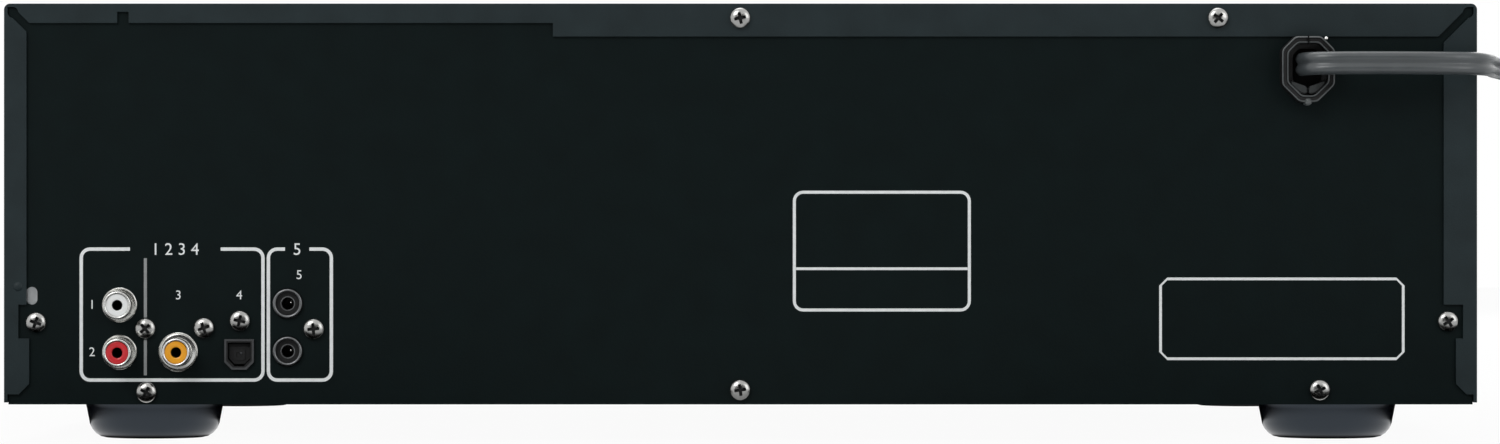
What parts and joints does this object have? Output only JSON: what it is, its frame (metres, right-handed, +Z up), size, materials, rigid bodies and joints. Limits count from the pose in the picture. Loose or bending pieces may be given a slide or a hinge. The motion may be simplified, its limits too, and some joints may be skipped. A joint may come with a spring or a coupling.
{
  "type": "disc changer",
  "caption": "Home audio disc changer: sheet-metal case with sliding drawer, rotating carousel, lifting traverse, rear sockets and a two-core mains cord",
  "frame": {"origin": "on the surface under the feet, midway between the case's sides and between its foremost and rearmost points, cord left out", "axes": "+X to the right seen from the front, +Y to the back, +Z up"},
  "size_m": [0.5969, 0.4425, 0.1294],
  "materials": {
    "cover_paint": "fine satin charcoal paint",
    "zinc_steel": "bright zinc-plated steel",
    "panel_paint": "satin black paint",
    "foot_plastic": "glossy blue-black plastic",
    "nickel": "bright nickel plating",
    "black_plastic": "satin black moulded plastic",
    "white_plastic": "white moulded plastic",
    "red_plastic": "red moulded plastic",
    "orange_plastic": "yellow-orange moulded plastic",
    "cord_rubber": "dark grey vinyl cord",
    "brass_blade": "plain brass",
    "window_smoke": "smoked clear plastic",
    "board_green": "green circuit board",
    "core_steel": "varnished laminated steel",
    "belt_rubber": "black rubber",
    "grey_plastic": "dark grey moulded plastic",
    "acetal": "off-white acetal"
  },
  "bodies": {
    "cabinet": {"top_cover": "cover_paint", "bottom_plate": "zinc_steel", "rear_panel": "panel_paint", "feet": "foot_plastic", "case_screws": "nickel", "socket_blocks": "black_plastic", "socket_barrels": "nickel", "white_insulator": "white_plastic", "red_insulator": "red_plastic", "orange_insulator": "orange_plastic", "optical_jack": "black_plastic", "control_jacks": "black_plastic", "strain_relief": "black_plastic", "cord_lead": "cord_rubber", "cord_coil": "cord_rubber", "power_plug": "cord_rubber", "plug_blades": "brass_blade", "front_panel": "black_plastic", "display_window": "window_smoke", "front_surround": "black_plastic", "phones_jack": "black_plastic", "circuit_boards": "board_green", "power_transformer": "core_steel", "drawer_guides": "black_plastic", "mechanism_deck": "black_plastic", "clamp_bridge": "zinc_steel", "deck_motors": "zinc_steel", "loading_belt": "belt_rubber"},
    "drawer": {"drawer": "black_plastic", "drawer_front": "black_plastic", "carousel_motor": "zinc_steel", "hub_cap": "grey_plastic"},
    "carousel": {"carousel": "grey_plastic"},
    "carousel_gear": {"carousel_gear": "acetal"},
    "carousel_motor_gear": {"carousel_motor_gear": "acetal"},
    "drawer_gear": {"drawer_gear": "acetal"},
    "motor_pulley": {"motor_pulley": "acetal"},
    "lift": {"lift_frame": "black_plastic", "traverse_motors": "zinc_steel", "guide_rods": "zinc_steel"},
    "lift_slider": {"lift_slider": "acetal"},
    "lift_gear": {"lift_gear": "acetal"},
    "lift_motor_gear": {"lift_motor_gear": "acetal"},
    "turntable": {"turntable": "grey_plastic"},
    "pickup": {"pickup": "black_plastic"},
    "sled_gear": {"sled_gear": "acetal"},
    "clamper": {"clamper": "white_plastic"},
    "optical_shutter": {"optical_shutter": "black_plastic"},
    "jog_dial": {"jog_dial": "grey_plastic"},
    "phones_knob": {"phones_knob": "grey_plastic"},
    "power_button": {"power_button": "black_plastic"},
    "open_close_button": {"open_close_button": "black_plastic"},
    "play_pause_button": {"play_pause_button": "black_plastic"},
    "stop_button": {"stop_button": "black_plastic"},
    "disc_1_button": {"disc_1_button": "black_plastic"},
    "disc_2_button": {"disc_2_button": "black_plastic"},
    "disc_3_button": {"disc_3_button": "black_plastic"},
    "disc_4_button": {"disc_4_button": "black_plastic"},
    "disc_5_button": {"disc_5_button": "black_plastic"},
    "disc_6_button": {"disc_6_button": "black_plastic"}
  },
  "joints": [
    {"name": "drawer_slide", "type": "slide", "parent": "cabinet", "child": "drawer", "axis": [0, -1, 0], "range_m": [0, 0.235]},
    {"name": "carousel_spin", "type": "hinge", "parent": "drawer", "child": "carousel", "pos_m": [0, 0.015, 0.085], "axis": [0, 0, 1], "continuous": true},
    {"name": "carousel_gear_spin", "type": "hinge", "parent": "drawer", "child": "carousel_gear", "pos_m": [0.05898, 0.0563, 0.078], "axis": [0, 0, 1], "continuous": true},
    {"name": "carousel_motor_spin", "type": "hinge", "parent": "drawer", "child": "carousel_motor_gear", "pos_m": [0.08059, 0.06416, 0.073], "axis": [0, 0, 1], "continuous": true},
    {"name": "drawer_gear_spin", "type": "hinge", "parent": "cabinet", "child": "drawer_gear", "pos_m": [-0.124, -0.15, 0.068], "axis": [0, 0, 1], "continuous": true},
    {"name": "motor_pulley_spin", "type": "hinge", "parent": "cabinet", "child": "motor_pulley", "pos_m": [-0.066, -0.15, 0.061], "axis": [0, 0, 1], "continuous": true},
    {"name": "lift_slide", "type": "slide", "parent": "cabinet", "child": "lift", "axis": [0, 0, 1], "range_m": [0, 0.014]},
    {"name": "lift_slider_slide", "type": "slide", "parent": "cabinet", "child": "lift_slider", "axis": [0, -1, 0], "range_m": [0, 0.025]},
    {"name": "lift_gear_spin", "type": "hinge", "parent": "cabinet", "child": "lift_gear", "pos_m": [0.041, 0.066, 0.062], "axis": [0, 0, 1], "continuous": true},
    {"name": "lift_motor_spin", "type": "hinge", "parent": "cabinet", "child": "lift_motor_gear", "pos_m": [0.0525, 0.04608, 0.064], "axis": [0, 0, 1], "continuous": true},
    {"name": "turntable_spin", "type": "hinge", "parent": "lift", "child": "turntable", "pos_m": [0, 0.1385, 0.076], "axis": [0, 0, 1], "continuous": true},
    {"name": "pickup_slide", "type": "slide", "parent": "lift", "child": "pickup", "axis": [0, 1, 0], "range_m": [0, 0.033]},
    {"name": "sled_gear_spin", "type": "hinge", "parent": "lift", "child": "sled_gear", "pos_m": [0.0115, 0.15, 0.065], "axis": [0, 0, 1], "continuous": true},
    {"name": "clamper_spin", "type": "hinge", "parent": "cabinet", "child": "clamper", "pos_m": [0, 0.1385, 0.1], "axis": [0, 0, 1], "continuous": true},
    {"name": "optical_shutter_hinge", "type": "hinge", "parent": "cabinet", "child": "optical_shutter", "pos_m": [0.1481, 0.2064, 0.02855], "axis": [1, 0, 0], "range_deg": [0, 80], "stiffness_Nm_per_rad": 0.0003, "springref_deg": -17.19},
    {"name": "jog_dial_spin", "type": "hinge", "parent": "cabinet", "child": "jog_dial", "pos_m": [0.163, -0.21, 0.042], "axis": [0, 1, 0], "continuous": true},
    {"name": "phones_level_turn", "type": "hinge", "parent": "cabinet", "child": "phones_knob", "pos_m": [-0.158, -0.21, 0.027], "axis": [0, 1, 0], "range_deg": [0, 300]},
    {"name": "power_button_press", "type": "slide", "parent": "cabinet", "child": "power_button", "axis": [0, 1, 0], "range_m": [0, 0.0012], "stiffness_N_per_m": 800, "springref_m": -0.0008},
    {"name": "open_close_button_press", "type": "slide", "parent": "cabinet", "child": "open_close_button", "axis": [0, 1, 0], "range_m": [0, 0.0012], "stiffness_N_per_m": 800, "springref_m": -0.0008},
    {"name": "play_pause_button_press", "type": "slide", "parent": "cabinet", "child": "play_pause_button", "axis": [0, 1, 0], "range_m": [0, 0.0012], "stiffness_N_per_m": 800, "springref_m": -0.0008},
    {"name": "stop_button_press", "type": "slide", "parent": "cabinet", "child": "stop_button", "axis": [0, 1, 0], "range_m": [0, 0.0012], "stiffness_N_per_m": 800, "springref_m": -0.0008},
    {"name": "disc_1_button_press", "type": "slide", "parent": "cabinet", "child": "disc_1_button", "axis": [0, 1, 0], "range_m": [0, 0.0012], "stiffness_N_per_m": 800, "springref_m": -0.0008},
    {"name": "disc_2_button_press", "type": "slide", "parent": "cabinet", "child": "disc_2_button", "axis": [0, 1, 0], "range_m": [0, 0.0012], "stiffness_N_per_m": 800, "springref_m": -0.0008},
    {"name": "disc_3_button_press", "type": "slide", "parent": "cabinet", "child": "disc_3_button", "axis": [0, 1, 0], "range_m": [0, 0.0012], "stiffness_N_per_m": 800, "springref_m": -0.0008},
    {"name": "disc_4_button_press", "type": "slide", "parent": "cabinet", "child": "disc_4_button", "axis": [0, 1, 0], "range_m": [0, 0.0012], "stiffness_N_per_m": 800, "springref_m": -0.0008},
    {"name": "disc_5_button_press", "type": "slide", "parent": "cabinet", "child": "disc_5_button", "axis": [0, 1, 0], "range_m": [0, 0.0012], "stiffness_N_per_m": 800, "springref_m": -0.0008},
    {"name": "disc_6_button_press", "type": "slide", "parent": "cabinet", "child": "disc_6_button", "axis": [0, 1, 0], "range_m": [0, 0.0012], "stiffness_N_per_m": 800, "springref_m": -0.0008}
  ],
  "couplings": [
    {"joint": "carousel_gear_spin", "follows": "carousel_spin", "ratio": -5},
    {"joint": "carousel_motor_spin", "follows": "carousel_spin", "ratio": 18},
    {"joint": "drawer_gear_spin", "follows": "drawer_slide", "rad_per_m": -71.429},
    {"joint": "motor_pulley_spin", "follows": "drawer_slide", "rad_per_m": -324.04},
    {"joint": "lift_slider_slide", "follows": "lift_slide", "ratio": 1.7857},
    {"joint": "lift_gear_spin", "follows": "lift_slide", "rad_per_m": 255.1},
    {"joint": "lift_motor_spin", "follows": "lift_slide", "rad_per_m": -918.37},
    {"joint": "sled_gear_spin", "follows": "pickup_slide", "rad_per_m": 250}
  ]
}
